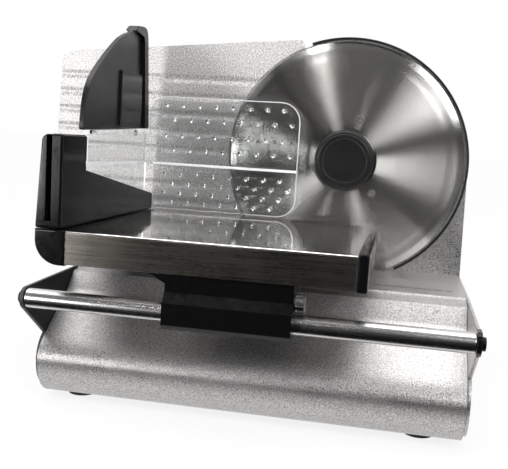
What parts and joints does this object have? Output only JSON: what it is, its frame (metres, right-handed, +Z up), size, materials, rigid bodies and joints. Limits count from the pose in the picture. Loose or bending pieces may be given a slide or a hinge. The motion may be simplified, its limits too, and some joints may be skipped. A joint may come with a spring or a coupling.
{
  "type": "electric food slicer",
  "caption": "Electric food slicer: round blade in a guarded housing, sliding tray on a rail with a clear toothed pusher, and a thickness plate set by a knob.",
  "frame": {"origin": "on the table, under the middle of the whole machine", "axes": "+Z up, +X along the slide rail to the blade's end, +Y away from the person who slices, along the blade's axis"},
  "size_m": [0.3548, 0.2832, 0.2718],
  "materials": {
    "silver_body": "satin silver metallic coat with a fine grain",
    "guard_metal": "satin",
    "black_shell": "fine grain",
    "black_gloss": "smooth",
    "foot_rubber": "soft matt",
    "rail_chrome": "polished",
    "screw_steel": "bright",
    "tray_steel": "polished top, brushed front",
    "blade_steel": "brushed in circles, bright bevel",
    "clear_plastic": "clear",
    "handle_black": "satin",
    "gear_nylon": "natural nylon",
    "bush_brass": "plain",
    "motor_metal": "plain",
    "plate_metal": "fine sand-textured silver coat",
    "rocker_red": "smooth"
  },
  "bodies": {
    "base": {"main_housing": "silver_body", "blade_guard": "guard_metal", "rear_cover": "black_shell", "bottom_cover": "black_shell", "foot_front_left": "foot_rubber", "foot_front_right": "foot_rubber", "foot_rear_left": "foot_rubber", "foot_rear_right": "foot_rubber", "left_side_cover": "black_shell", "right_side_plate": "silver_body", "rail_end_cap": "black_gloss", "slide_rail": "rail_chrome", "rail_screw_left": "screw_steel", "rail_screw_right": "screw_steel", "spindle_bushing": "bush_brass", "gear_motor": "motor_metal", "switch_bezel": "black_gloss", "cord_gland": "foot_rubber"},
    "blade_set": {"blade": "blade_steel", "blade_gear": "gear_nylon", "blade_screw_1": "screw_steel", "blade_screw_2": "screw_steel", "blade_screw_3": "screw_steel", "hub_cap": "handle_black", "blade_spindle": "screw_steel", "spindle_ring": "screw_steel"},
    "pinion": {"drive_pinion": "screw_steel"},
    "carriage": {"carriage_block": "black_gloss", "tray_screw_1": "screw_steel", "tray_screw_2": "screw_steel", "tray": "tray_steel", "tray_right_cap": "black_gloss", "tray_left_bar": "black_gloss", "tray_guide_wall": "black_gloss"},
    "lock_screw": {"carriage_lock_screw": "screw_steel"},
    "pusher_set": {"pusher": "clear_plastic", "pusher_handle": "handle_black"},
    "knob_set": {"thickness_knob": "handle_black", "thickness_spindle": "screw_steel"},
    "plate_set": {"thickness_plate": "plate_metal", "plate_carrier": "guard_metal"},
    "rocker": {"rocker_switch": "rocker_red"}
  },
  "joints": [
    {"name": "blade_spin", "type": "hinge", "parent": "base", "child": "blade_set", "pos_m": [0.0746, 0.05395, 0.1735], "axis": [0, 1, 0], "continuous": true},
    {"name": "pinion_spin", "type": "hinge", "parent": "base", "child": "pinion", "pos_m": [0.0746, 0.05395, 0.1195], "axis": [0, 1, 0], "continuous": true},
    {"name": "carriage_slide", "type": "slide", "parent": "base", "child": "carriage", "axis": [1, 0, 0], "range_m": [-0.081, 0.099]},
    {"name": "lock_screw_turn", "type": "hinge", "parent": "carriage", "child": "lock_screw", "pos_m": [0.0646, -0.13005, 0.08905], "axis": [1, 0, 0], "range_deg": [0, 180]},
    {"name": "pusher_slide", "type": "slide", "parent": "carriage", "child": "pusher_set", "axis": [0, 1, 0], "range_m": [-0.105, 0]},
    {"name": "knob_turn", "type": "hinge", "parent": "base", "child": "knob_set", "pos_m": [-0.0654, 0.11395, 0.1735], "axis": [0, 1, 0], "range_deg": [0, 300]},
    {"name": "plate_slide", "type": "slide", "parent": "base", "child": "plate_set", "axis": [0, 1, 0], "range_m": [0, 0.015]},
    {"name": "switch_rock", "type": "hinge", "parent": "base", "child": "rocker", "pos_m": [0.1226, 0.13395, 0.2035], "axis": [1, 0, 0], "range_deg": [0, 12]}
  ],
  "couplings": [
    {"joint": "pinion_spin", "follows": "blade_spin", "ratio": -3.5},
    {"joint": "knob_turn", "follows": "plate_slide", "rad_per_m": 349.07}
  ]
}
